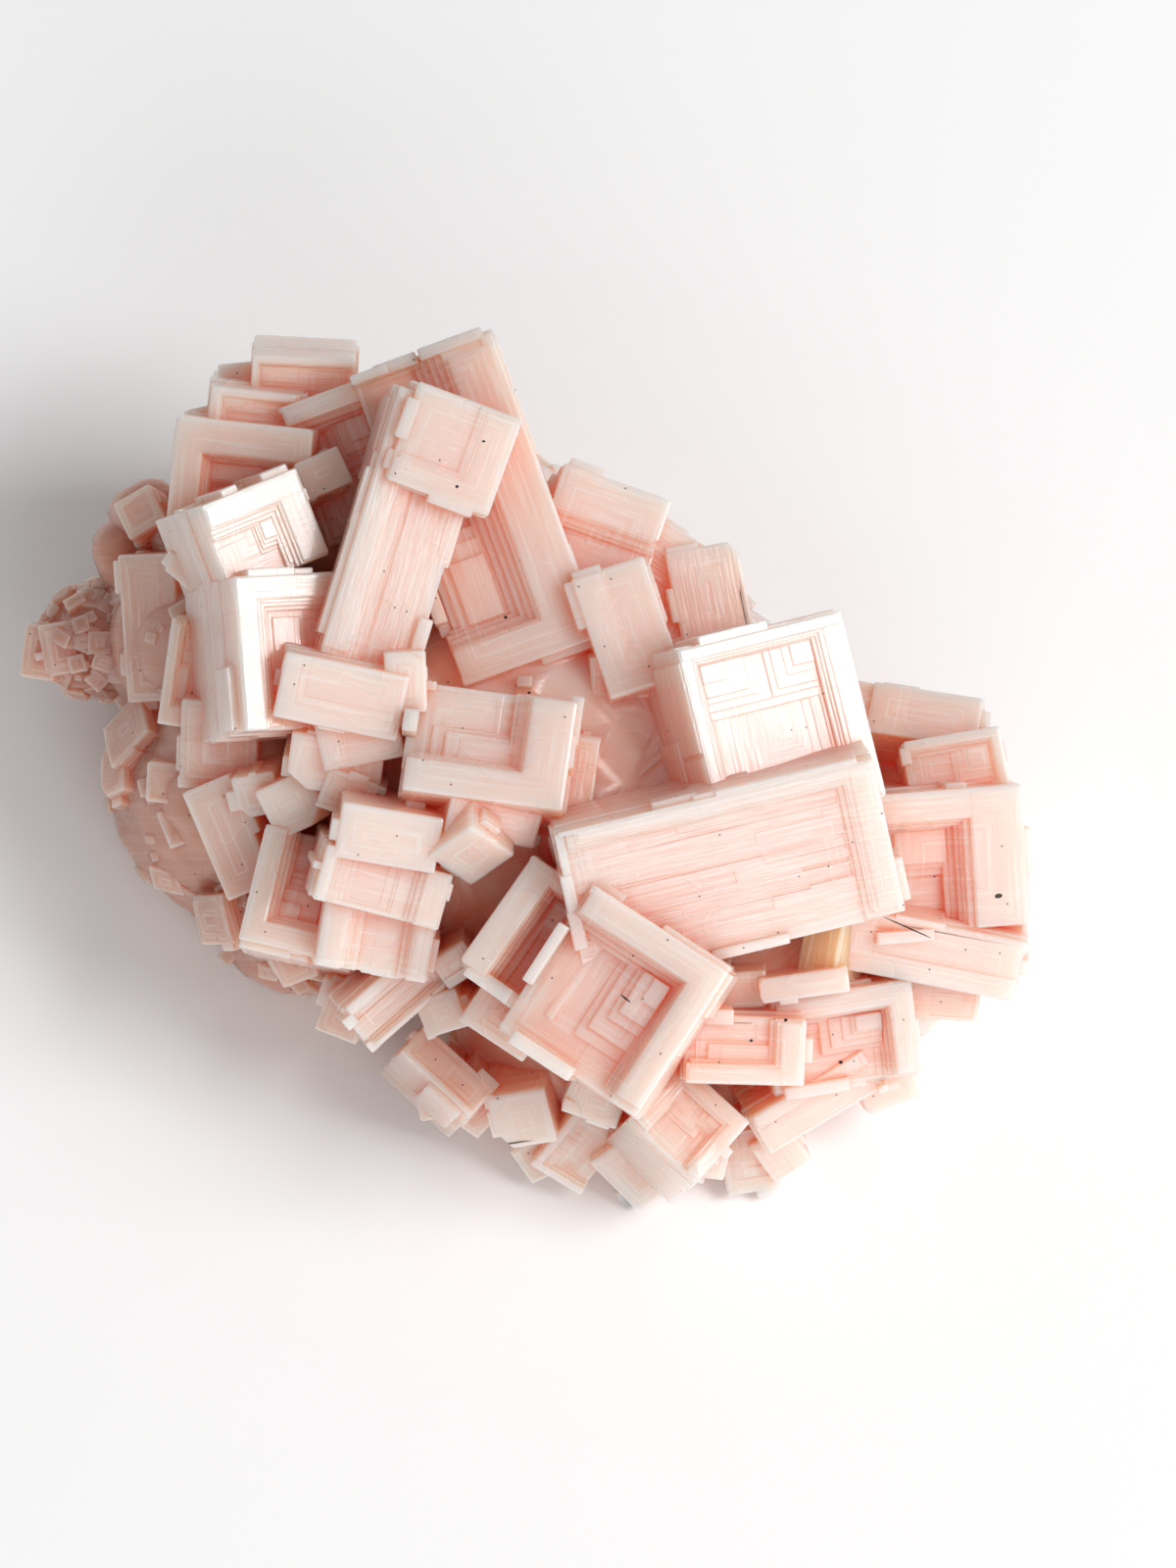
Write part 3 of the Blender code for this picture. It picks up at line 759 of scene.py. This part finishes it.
    def crust_cubes(self) -> Shapes:
        """Return the tiny cubes that stud the massive salt."""
        rng = random.Random(SEED + 1)
        lobes = self.lobes[: self.large_lobes + 1]
        left = lobes[1:4] + lobes[9:]
        made: Shapes = []
        while len(made) < self.cubelets:
            lobe = rng.choice(left if rng.random() < 0.5 else lobes)
            way, point, out = self.foothold(rng, lobe)
            if self.buried(point, lobe, lobes, 0.98):
                continue
            side = rng.uniform(7, 24)
            if way.z < self.steepest:
                continue
            tip, toward = self.facing(out)
            tip *= rng.uniform(0.5, 1.1)
            at = tuple(point + out * side * rng.uniform(0.1, 0.35))
            size = (side, side * rng.uniform(0.6, 1.2), side * 1.4)
            cube = Crystal(at, size, rng.uniform(-45, 45), tip, toward, skin=Skin.CRUST)
            grown = GrownCrystal(cube, len(made), edge=0.9)
            shape = grown.body((side * 0.3, 0.0, side * 0.3, 0.0), 0.0)
            grown.settle(shape)
            made.append(shape)
        return made


Feed = bpy.types.NodeSocket | float | tuple[float, ...]


@dataclass(frozen=True)
class NodeBench:
    """Adds the nodes of one tree and joins them."""

    tree: bpy.types.NodeTree

    def feed(self, node: bpy.types.Node, feeds: dict[str | int, Feed]) -> None:
        """Set or link a node's inputs.

        Args:
            node: The node.
            feeds: For each input, a plain value or the output socket to link to it.
        """
        for name, value in feeds.items():
            if isinstance(value, bpy.types.NodeSocket):
                self.tree.links.new(value, node.inputs[name])
            else:
                node.inputs[name].default_value = value

    def add(
        self, kind: str, feeds: dict[str | int, Feed] | None = None, **settings: object
    ) -> bpy.types.Node:
        """Add a node.

        Args:
            kind: Its type, without the ShaderNode in front.
            feeds: What its inputs take.
            **settings: Its own options.

        Returns:
            The new node.
        """
        node = self.tree.nodes.new(f"ShaderNode{kind}")
        for name, value in settings.items():
            setattr(node, name, value)
        self.feed(node, feeds or {})
        return node

    def math(self, operation: str, *feeds: Feed) -> bpy.types.NodeSocket:
        """Return the value of a Math node that works on the feeds."""
        return self.add("Math", dict(enumerate(feeds)), operation=operation).outputs["Value"]

    def noise(
        self,
        place: Feed,
        scale: float,
        detail: float,
        roughness: float = 0.5,
        dimensions: str = "2D",
    ) -> bpy.types.NodeSocket:
        """Return the grey value of a Noise Texture node at a place."""
        feeds = {"Vector": place, "Scale": scale, "Detail": detail, "Roughness": roughness}
        return self.add("TexNoise", feeds, noise_dimensions=dimensions).outputs["Fac"]

    def ranged(
        self,
        value: Feed,
        start: float,
        end: float,
        low: float = 0.0,
        high: float = 1.0,
        interpolation: str = "LINEAR",
    ) -> bpy.types.NodeSocket:
        """Add a Map Range node.

        Args:
            value: What is mapped.
            start: The value that becomes low.
            end: The value that becomes high.
            low: The result at the start.
            high: The result at the end.
            interpolation: How the result runs between them.

        Returns:
            The result's socket.
        """
        feeds = {"Value": value, "From Min": start, "From Max": end, "To Min": low, "To Max": high}
        node = self.add("MapRange", feeds, interpolation_type=interpolation)
        return node.outputs["Result"]

    def blend(
        self, factor: Feed, first: Feed, second: Feed, way: str = "MIX"
    ) -> bpy.types.NodeSocket:
        """Return the colour between two colours, or their product for MULTIPLY."""
        feeds = {"Factor": factor, "A": first, "B": second}
        return self.add("Mix", feeds, data_type="RGBA", blend_type=way).outputs["Result"]


@dataclass(frozen=True)
class SaltFinish:
    """A finish of the salt, from its colours to how light goes through it."""

    name: str
    open_face: Colour
    # The next two colours are painted shade: the redder salmon laid into hollows and deep gaps,
    # standing in for shade and for light scattered in the salt.
    hollow_shade: Colour
    deep: Colour
    roughness: float
    transmission: float = 0.08
    scatter: float = 0.010
    bump: float = 0.16
    coat: float = 0.0
    # Strength of the white veils: partly real veils, partly painted glints.
    veils_and_glints: float = 0.1
    # Strength of the paler edges and growth lines: painted highlight where light scatters at them.
    terraces: float = 0.36
    # Browner tint for the left, lower flank: partly its brown crust, partly painted shade on the
    # side turned from the key light.
    flank_shade_and_stain: Colour = (0.72, 0.56, 0.50)

    def build(self, cloud: bpy.types.NodeTree) -> bpy.types.Material:
        """Return the material.

        Args:
            cloud: The node group that clouds the salt, paints its shade and highlights and sets its
                dust.

        Returns:
            A new material with the finish's nodes.
        """
        made = bpy.data.materials.new(self.name)
        made.use_nodes = True
        bench = NodeBench(made.node_tree)
        shader = made.node_tree.nodes["Principled BSDF"]
        # Ambient occlusion that paints shade into hollows and gaps through the salt's colour.
        crevice_shade = bench.add(
            "AmbientOcclusion", {"Distance": CREVICE_REACH}, samples=1, only_local=True
        )
        feeds: dict[str | int, Feed] = {
            name.title(): bench.add("UVMap", uv_map=name).outputs["UV"] for name in MAPS
        }
        feeds |= {
            "Place": bench.add("TexCoord").outputs["Object"],
            "Openness": crevice_shade.outputs["AO"],
            "Open Face": (*self.open_face, 1.0),
            "Hollow Shade": (*self.hollow_shade, 1.0),
            "Deep Shade": (*self.deep, 1.0),
            "Flank Shade And Stain": (*self.flank_shade_and_stain, 1.0),
            "Roughness": self.roughness,
            "Veils And Glints": self.veils_and_glints,
            "Edge And Line Highlight": self.terraces,
        }
        group = bench.add("Group", feeds, node_tree=cloud)
        bump = bench.add(
            "Bump",
            {"Strength": self.bump, "Distance": BUMP_HEIGHT, "Height": group.outputs["Height"]},
        )
        bench.feed(
            shader,
            {
                "Base Color": group.outputs["Colour"],
                "Roughness": group.outputs["Roughness"],
                "Normal": bump.outputs["Normal"],
                "IOR": HALITE_IOR,
                "Transmission Weight": self.transmission,
                "Subsurface Weight": 1.0,
                "Subsurface Radius": (1.0, 0.62, 0.50),
                "Subsurface Scale": self.scatter,
                "Coat Weight": self.coat,
                "Coat Roughness": 0.08,
            },
        )
        return made


class SaltCloud:
    """The node group that clouds the salt, paints shade into its gaps and highlight on its edges
    and growth lines, whitens its veils (partly painted glints) and dusts it.
    """

    takes: ClassVar[dict[str, str]] = {
        "Place": "Vector",
        "Grain": "Vector",
        "Near": "Vector",
        "Far": "Vector",
        "Openness": "Float",
        "Open Face": "Color",
        "Hollow Shade": "Color",
        "Deep Shade": "Color",
        "Roughness": "Float",
        "Veils And Glints": "Float",
        "Edge And Line Highlight": "Float",
        "Flank Shade And Stain": "Color",
    }
    gives: ClassVar[dict[str, str]] = {
        "Colour": "Color",
        "Roughness": "Float",
        "Height": "Float",
    }

    def __init__(self) -> None:
        """Start the group, with its inputs and outputs."""
        self.tree = bpy.data.node_groups.new("salt_cloud", "ShaderNodeTree")
        for way, sockets in (("INPUT", self.takes), ("OUTPUT", self.gives)):
            for name, kind in sockets.items():
                kind = f"NodeSocket{kind}"
                self.tree.interface.new_socket(name, in_out=way, socket_type=kind)
        self.bench = NodeBench(self.tree)
        self.given = self.tree.nodes.new("NodeGroupInput").outputs

    def build(self) -> bpy.types.NodeTree:
        """Return the group with its nodes in place."""
        bench, given = self.bench, self.given
        cloud = bench.noise(given["Place"], 95.0, 2.0, dimensions="3D")
        haze = bench.ranged(cloud, 0.35, 0.7, 0.0, 0.22)
        milky = bench.blend(haze, self.ground(), given["Hollow Shade"])

        fine = bench.add("Mapping", {"Vector": given["Grain"], "Scale": (1.6, 30.0, 1.0)})
        streak = bench.noise(fine.outputs["Vector"], 1.0, 3.0, 0.65)
        inset = self.inset()
        nested = self.nested(inset)
        pale = self.pale(inset, nested, streak)
        # Paler at edges, growth lines and veils: painted highlight, with real veils in part.
        veiled = bench.blend(pale, milky, (0.98, 0.90, 0.86, 1.0))
        dusty = bench.blend(self.dust(), veiled, (0.16, 0.10, 0.08, 1.0))
        dirty = bench.blend(self.marks(), dusty, (0.02, 0.016, 0.014, 1.0))

        dull = bench.ranged(cloud, 0.3, 0.7, -0.08, 0.1)
        rough = bench.math("ADD", given["Roughness"], dull)
        patch = bench.noise(given["Grain"], 2.2, 0.0)
        which = bench.ranged(patch, 0.3, 0.7, interpolation="SMOOTHSTEP")
        height = bench.add("Mix", {"Factor": which, "A": streak, "B": nested})
        result = self.tree.nodes.new("NodeGroupOutput")
        bench.feed(
            result, {"Colour": dirty, "Roughness": rough, "Height": height.outputs["Result"]}
        )
        return self.tree

    def ground(self) -> bpy.types.NodeSocket:
        """Return the salt's colour with painted shade: redder salmon the more closed in a point is,
        and browner on the left, lower flank, partly painted shade and partly its brown crust.
        """
        bench, given = self.bench, self.given
        # Painted shade: the colour turns redder in hollows and gaps as the ambient occlusion closes
        # in.
        shallow = bench.ranged(given["Openness"], 0.08, 0.6)
        pink = bench.blend(shallow, given["Hollow Shade"], given["Open Face"])
        gap = bench.ranged(given["Openness"], 0.0, 0.26)
        deep = bench.blend(gap, given["Deep Shade"], pink)
        # Browner towards the left and lower flank: partly brown crust, partly painted shade where
        # the key light falls away.
        split = bench.add("SeparateXYZ", {"Vector": given["Place"]}).outputs
        across = bench.math("MULTIPLY_ADD", split["Z"], 1.2, split["X"])
        flank = bench.ranged(across, 0.014, -0.022, interpolation="SMOOTHSTEP")
        return bench.blend(flank, deep, given["Flank Shade And Stain"], "MULTIPLY")

    def dust(self) -> bpy.types.NodeSocket:
        """Return a socket that is 1 on a fine speck of dust and 0 elsewhere."""
        bench = self.bench
        feeds = {"Vector": self.given["Grain"], "Scale": 3.0}
        specks = bench.add("TexVoronoi", feeds, voronoi_dimensions="2D").outputs
        small = bench.math("LESS_THAN", specks["Distance"], 0.03)
        cell = bench.add("SeparateColor", {"Color": specks["Color"]})
        some = bench.math("GREATER_THAN", cell.outputs["Red"], 0.8)
        return bench.math("MULTIPLY", small, some)

    def inset(self) -> bpy.types.NodeSocket:
        """Return how far in from its crystal's nearest side a point lies, in 100 units."""
        maps = {0: self.given["Near"], 1: self.given["Far"]}
        nearer = self.bench.add("VectorMath", maps, operation="MINIMUM").outputs["Vector"]
        both = self.bench.add("SeparateXYZ", {"Vector": nearer}).outputs
        return self.bench.math("MINIMUM", both["X"], both["Y"])

    def nested(self, inset: bpy.types.NodeSocket) -> bpy.types.NodeSocket:
        """Return the height, about 0.3 to 0.7, of growth lines along the crystal's sides.

        Args:
            inset: The distance in from the crystal's nearest side.
        """
        bench = self.bench
        feeds = {0: self.given["Grain"], 1: (0.9, 0.9, 0.0)}
        along = bench.add("VectorMath", feeds, operation="DOT_PRODUCT").outputs["Value"]
        place = bench.add("CombineXYZ", {"X": bench.math("MULTIPLY", inset, 26.0), "Y": along})
        return bench.noise(place.outputs["Vector"], 1.0, 2.0, 0.6)

    def pale(
        self,
        inset: bpy.types.NodeSocket,
        nested: bpy.types.NodeSocket,
        streak: bpy.types.NodeSocket,
    ) -> bpy.types.NodeSocket:
        """Return how pale the salt is: painted highlight at its edges and growth lines, and white
        veils along the streaks, partly real veils and partly painted glints, 0 to 1.

        Args:
            inset: The distance in from the crystal's nearest side.
            nested: The growth lines' height.
            streak: The streaks that the veils and painted glints follow.
        """
        bench = self.bench
        # Painted highlight: paler growth lines and a paler band along the crystal's sides, where
        # light scatters in the thin salt.
        lit = bench.ranged(nested, 0.48, 0.68)
        edge = bench.ranged(inset, 0.07, 0.0, 0.0, 0.8, "SMOOTHSTEP")
        strength = bench.math(
            "MULTIPLY", bench.math("MAXIMUM", lit, edge), self.given["Edge And Line Highlight"]
        )
        # White veils along the streaks: partly real veils, partly painted glints.
        veil = bench.ranged(streak, 0.44, 0.62)
        amount = bench.math("MULTIPLY", veil, self.given["Veils And Glints"])
        return bench.math("MAXIMUM", strength, amount)

    def marks(self) -> bpy.types.NodeSocket:
        """Return a socket that is 1 on a speck, fibre or hair and 0 elsewhere."""
        bench = self.bench
        moved = bench.add(
            "VectorMath", {0: self.given["Place"]}, operation="SUBTRACT", name="growth_origin"
        )
        feeds: dict[str | int, Feed] = {
            "Vector": moved.outputs["Vector"],
            "Angle": math.radians(-LEAN),
        }
        level = bench.add("VectorRotate", feeds, rotation_type="X_AXIS").outputs["Vector"]
        found: Feed = 0.0
        for mark in MARKS:
            feeds = {
                "Vector": level,
                "Location": (mark.at[0] * UNIT, mark.at[1] * UNIT, 0.0),
                "Rotation": (0.0, 0.0, math.radians(mark.turn)),
                "Scale": (mark.half_length * UNIT, mark.half_width * UNIT, THROUGH),
            }
            local = bench.add("Mapping", feeds, vector_type="TEXTURE")
            feeds = {0: local.outputs["Vector"]}
            reach = bench.add("VectorMath", feeds, operation="LENGTH").outputs["Value"]
            found = bench.math("MAXIMUM", found, bench.math("LESS_THAN", reach, 1.0))
        return found


@dataclass
class HaliteCluster:
    """The whole cluster: cubes and mound joined into one closed piece."""

    frame: GrowthFrame
    mound: SaltMound = field(default_factory=SaltMound)
    cloud: bpy.types.NodeTree = field(init=False)
    materials: list[bpy.types.Material] = field(init=False)
    shift: Vector = field(init=False)

    def finishes(self) -> list[SaltFinish]:
        """Return the finishes in the order of the skins."""
        milky = SaltFinish(
            "milky_halite", (0.89, 0.68, 0.61), (0.90, 0.57, 0.48), (0.93, 0.34, 0.19), 0.26
        )
        crust = SaltFinish(
            "massive_salt", (0.80, 0.52, 0.43), (0.78, 0.42, 0.32), (0.72, 0.26, 0.14), 0.30
        )
        amber = SaltFinish(
            "stained_halite", (0.90, 0.66, 0.42), (0.85, 0.50, 0.24), (0.65, 0.28, 0.10), 0.3
        )
        glossy = replace(milky, bump=0.5, coat=0.6)
        # The cleaved finish's paler base colour is a painted highlight on the faces turned to the
        # key light, on top of their real gloss and coat.
        bright = replace(glossy, name="cleaved_halite_painted_highlight", open_face=(0.92, 0.74, 0.67))
        # The clear finish's slightly darker base colour is partly painted shade for crystals tipped
        # from the key light, partly the clearer salt that lets more light through.
        clear = replace(milky, name="clear_halite_painted_shade", open_face=(0.87, 0.67, 0.60))
        return [
            milky,
            replace(crust, terraces=0.25),
            replace(bright, roughness=0.13),
            amber,
            replace(glossy, name="streaked_halite", roughness=0.2, veils_and_glints=0.4),
            replace(clear, roughness=0.22, transmission=0.14),
        ]

    def add(self, shape: bmesh.types.BMesh, name: str, group: bpy.types.Collection) -> None:
        """Put a closed shape in the collection that is joined later.

        Args:
            shape: A bmesh in the growth frame, which is freed.
            name: Name for its mesh and object.
            group: The collection.
        """
        shape.transform(self.frame.upright())
        bmesh.ops.recalc_face_normals(shape, faces=shape.faces)
        mesh = bpy.data.meshes.new(name)
        shape.to_mesh(mesh)
        shape.free()
        for slot in self.materials:
            mesh.materials.append(slot)
        group.objects.link(bpy.data.objects.new(name, mesh))

    @staticmethod
    def tray(name: str) -> bpy.types.Collection:
        """Return a new collection in the scene, for shapes that are joined or cut away."""
        made = bpy.data.collections.new(name)
        bpy.context.scene.collection.children.link(made)
        return made

    def build(self) -> bpy.types.Object:
        """Return the finished cluster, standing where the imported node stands."""
        self.cloud = SaltCloud().build()
        self.materials = [finish.build(self.cloud) for finish in self.finishes()]
        grown, cut, base = self.tray("growth"), self.tray("cut"), self.tray("base")
        cubes = LARGE + MIDDLE + self.mound.flank_cubes(self.frame)
        for number, crystal in enumerate(cubes):
            for part, shape in enumerate(GrownCrystal(crystal, number).shapes()):
                self.add(shape, f"cube_{number:03d}_{part:02d}", grown)
        for number, lobe in enumerate(self.mound.lobes[1:], start=1):
            self.add(self.mound.lump(lobe, number), f"lump_{number:02d}", grown)
        for number, shape in enumerate(self.mound.crust_cubes()):
            self.add(shape, f"cubelet_{number:03d}", grown)

        floor = bmesh.new()
        bmesh.ops.create_cube(floor, size=CUT_SIDE)
        below = Matrix.Translation((0, 0, -CUT_SIDE / 2))
        floor.transform(self.frame.upright().inverted() @ below)
        self.add(floor, "floor_block", cut)
        self.add(self.mound.lump(self.mound.lobes[0], 0), "dressed_halite_cluster", base)
        piece = base.objects[0]
        join = piece.modifiers.new("grown_together", "BOOLEAN")
        join.operation = "UNION"
        join.operand_type = "COLLECTION"
        join.collection = grown
        join.solver = "MANIFOLD"
        trim = piece.modifiers.new("resting_cut", "BOOLEAN")
        trim.operation = "DIFFERENCE"
        trim.object = cut.objects[0]
        trim.solver = "MANIFOLD"
        graph = bpy.context.evaluated_depsgraph_get()
        mesh = bpy.data.meshes.new_from_object(piece.evaluated_get(graph))
        for group in (grown, cut, base):
            for helper in list(group.objects):
                bpy.data.objects.remove(helper, do_unlink=True)
            bpy.data.collections.remove(group)
        self.settle(mesh)
        made = bpy.data.objects.new("dressed_halite_cluster", mesh)
        bpy.context.scene.collection.objects.link(made)
        LOG.info("joined %d faces", len(mesh.polygons))
        return made

    def settle(self, mesh: bpy.types.Mesh) -> None:
        """Keep the outer skin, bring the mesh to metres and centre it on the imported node.

        Args:
            mesh: The joined mesh in the upright frame, in units.
        """
        shape = bmesh.new()
        shape.from_mesh(mesh)
        left = set(shape.faces)
        shells = []
        while left:
            queue = [left.pop()]
            shell = list(queue)
            while queue:
                for edge in queue.pop().edges:
                    for other in edge.link_faces:
                        if other in left:
                            left.remove(other)
                            shell.append(other)
                            queue.append(other)
            shells.append(shell)
        shells.sort(key=len)
        for shell in shells[:-1]:
            bmesh.ops.delete(shape, geom=shell, context="FACES")
        lowest, highest = (Vector(corner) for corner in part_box(NODE))
        points = [vert.co * UNIT for vert in shape.verts]
        low = Vector(min(p[i] for p in points) for i in range(3))
        high = Vector(max(p[i] for p in points) for i in range(3))
        shift = (lowest + highest) / 2 - (low + high) / 2
        shift.z = lowest.z - low.z
        shape.transform(Matrix.Translation(shift) @ Matrix.Scale(UNIT, 4))
        shape.to_mesh(mesh)
        shape.free()
        self.shift = shift
        origin = self.frame.upright().translation * UNIT + shift
        self.cloud.nodes["growth_origin"].inputs[1].default_value = origin


@dataclass(frozen=True)
class Softbox:
    """A square softbox, placed by its angle off the growth axis and the way it stands."""

    name: str
    off_axis: float
    toward: float
    distance: float
    side: float
    watts: float


@dataclass
class Studio:
    """Camera, soft light and a plain pale floor."""

    frame: GrowthFrame
    shift: Vector
    distance: float = 2.0
    focus: Triple = (70.0, -18.0, 220.0)
    lit: Triple = (0.0, 0.0, 150.0)
    picture_units: float = 1600.0
    sensor: float = 36.0
    ambient: float = 0.38
    boxes: tuple[Softbox, ...] = (
        Softbox("key", 46.0, 12.0, 2.0, 1.0, 28.5),
        Softbox("fill", 42.0, -72.0, 2.5, 1.9, 24.0),
    )

    def stand(
        self, data: bpy.types.ID, spot: Triple, way: Vector, distance: float
    ) -> bpy.types.Object:
        """Stand a camera or light off a point of the cluster, looking at it.

        Args:
            data: The camera's or light's data.
            spot: The point in the growth frame, units.
            way: Direction from the point to the new object.
            distance: How far off it stands, metres.

        Returns:
            The new object.
        """
        made = bpy.data.objects.new(data.name, data)
        bpy.context.scene.collection.objects.link(made)
        made.location = self.frame.upright() @ Vector(spot) * UNIT + self.shift + way * distance
        made.rotation_euler = way.to_track_quat("Z", "Y").to_euler()
        return made

    def camera(self) -> None:
        """Set the camera square to the growth frame, above the layout's middle."""
        data = bpy.data.cameras.new("camera")
        data.sensor_width = self.sensor
        data.lens = self.sensor * self.distance / (self.picture_units * UNIT)
        data.clip_end = 20.0
        away = self.frame.direction(0.0, 0.0)
        bpy.context.scene.camera = self.stand(data, self.focus, away, self.distance)

    def lights(self) -> None:
        """Hang the softboxes and set the even light around them."""
        for box in self.boxes:
            data = bpy.data.lights.new(box.name, "AREA")
            data.shape = "SQUARE"
            data.size = box.side
            data.energy = box.watts
            self.stand(data, self.lit, self.frame.direction(box.off_axis, box.toward), box.distance)
        world = bpy.data.worlds.new("studio")
        world.use_nodes = True
        back = world.node_tree.nodes["Background"]
        back.inputs["Color"].default_value = (1.0, 1.0, 1.0, 1.0)
        back.inputs["Strength"].default_value = self.ambient
        bpy.context.scene.world = world

    def floor(self) -> None:
        """Lay a plain white sheet under the cluster."""
        shape = bmesh.new()
        bmesh.ops.create_grid(shape, x_segments=1, y_segments=1, size=3.0)
        mesh = bpy.data.meshes.new("floor")
        shape.to_mesh(mesh)
        shape.free()
        sheet = bpy.data.materials.new("white_sheet")
        sheet.use_nodes = True
        shader = sheet.node_tree.nodes["Principled BSDF"]
        shader.inputs["Base Color"].default_value = (0.97, 0.97, 0.97, 1.0)
        shader.inputs["Roughness"].default_value = 0.9
        shader.inputs["Specular IOR Level"].default_value = 0.1
        mesh.materials.append(sheet)
        made = bpy.data.objects.new("floor", mesh)
        bpy.context.scene.collection.objects.link(made)
        made.location.z = -SHEET_GAP

    def build(self) -> None:
        """Set the whole studio."""
        self.camera()
        self.lights()
        self.floor()
        bpy.context.scene.view_settings.view_transform = "Standard"


def main() -> None:
    """Build the cluster and its studio, and log the joined face count."""
    logging.basicConfig(level=logging.INFO, format="%(name)s: %(message)s")
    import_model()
    frame = GrowthFrame()
    cluster = HaliteCluster(frame)
    piece = cluster.build()
    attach(piece, "root")
    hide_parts(NODE)
    LOG.info("%s rides on root", piece.name)
    Studio(frame, cluster.shift).build()


if __name__ == "__main__":
    main()
